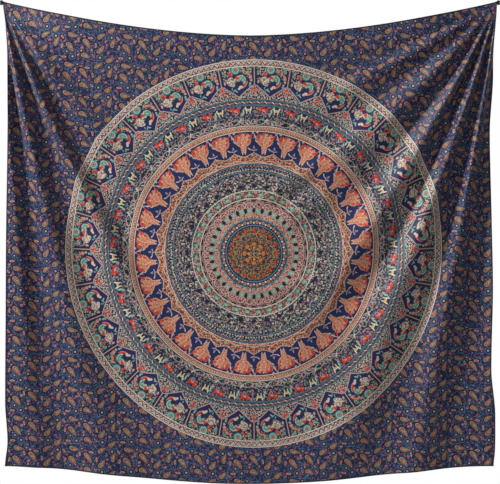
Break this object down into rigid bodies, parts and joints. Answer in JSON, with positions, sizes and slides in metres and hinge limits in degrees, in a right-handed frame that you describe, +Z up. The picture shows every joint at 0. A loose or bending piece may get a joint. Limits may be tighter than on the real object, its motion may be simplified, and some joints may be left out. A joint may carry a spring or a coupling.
{
  "type": "tapestry wall hanging",
  "caption": "Large printed cloth tapestry with a round mandala, narrow dark hems, hung in a swag from pins at its top corners.",
  "frame": {"origin": "on the wall plane, midway between the two pins that hold the top corners", "axes": "+X to the viewer's right along the line between the pins, +Y into the wall, +Z up; the printed side faces -Y"},
  "size_m": [2.274, 0.0787, 2.194],
  "materials": {
    "printed_cloth": "soft satin polyester weave with a printed pattern",
    "dark_hem": "matt turned hem, near black",
    "sewing_thread": "dark twisted thread",
    "pin_plastic": "black moulded plastic",
    "needle_steel": "bright drawn steel wire"
  },
  "bodies": {
    "pinned_corners": {"top_left_corner": "dark_hem", "top_right_corner": "dark_hem"},
    "sheet": {"cloth_panel": "printed_cloth", "hem_top": "dark_hem", "hem_bottom": "dark_hem", "hem_left": "dark_hem", "hem_right": "dark_hem", "bottom_left_corner": "dark_hem", "bottom_right_corner": "dark_hem", "stitching_top": "sewing_thread", "stitching_bottom": "sewing_thread", "stitching_left": "sewing_thread", "stitching_right": "sewing_thread"},
    "left_pin": {"left_pin_head": "pin_plastic", "left_pin_needle": "needle_steel"},
    "right_pin": {"right_pin_head": "pin_plastic", "right_pin_needle": "needle_steel"}
  },
  "joints": [
    {"name": "sheet_swing", "type": "hinge", "parent": "pinned_corners", "child": "sheet", "pos_m": [0, -0.0032, 0], "axis": [-1, 0, 0], "range_deg": [0, 75]},
    {"name": "left_pin_pull", "type": "slide", "parent": "pinned_corners", "child": "left_pin", "axis": [0, -1, 0], "range_m": [0, 0.016]},
    {"name": "right_pin_pull", "type": "slide", "parent": "pinned_corners", "child": "right_pin", "axis": [0, -1, 0], "range_m": [0, 0.016]}
  ]
}
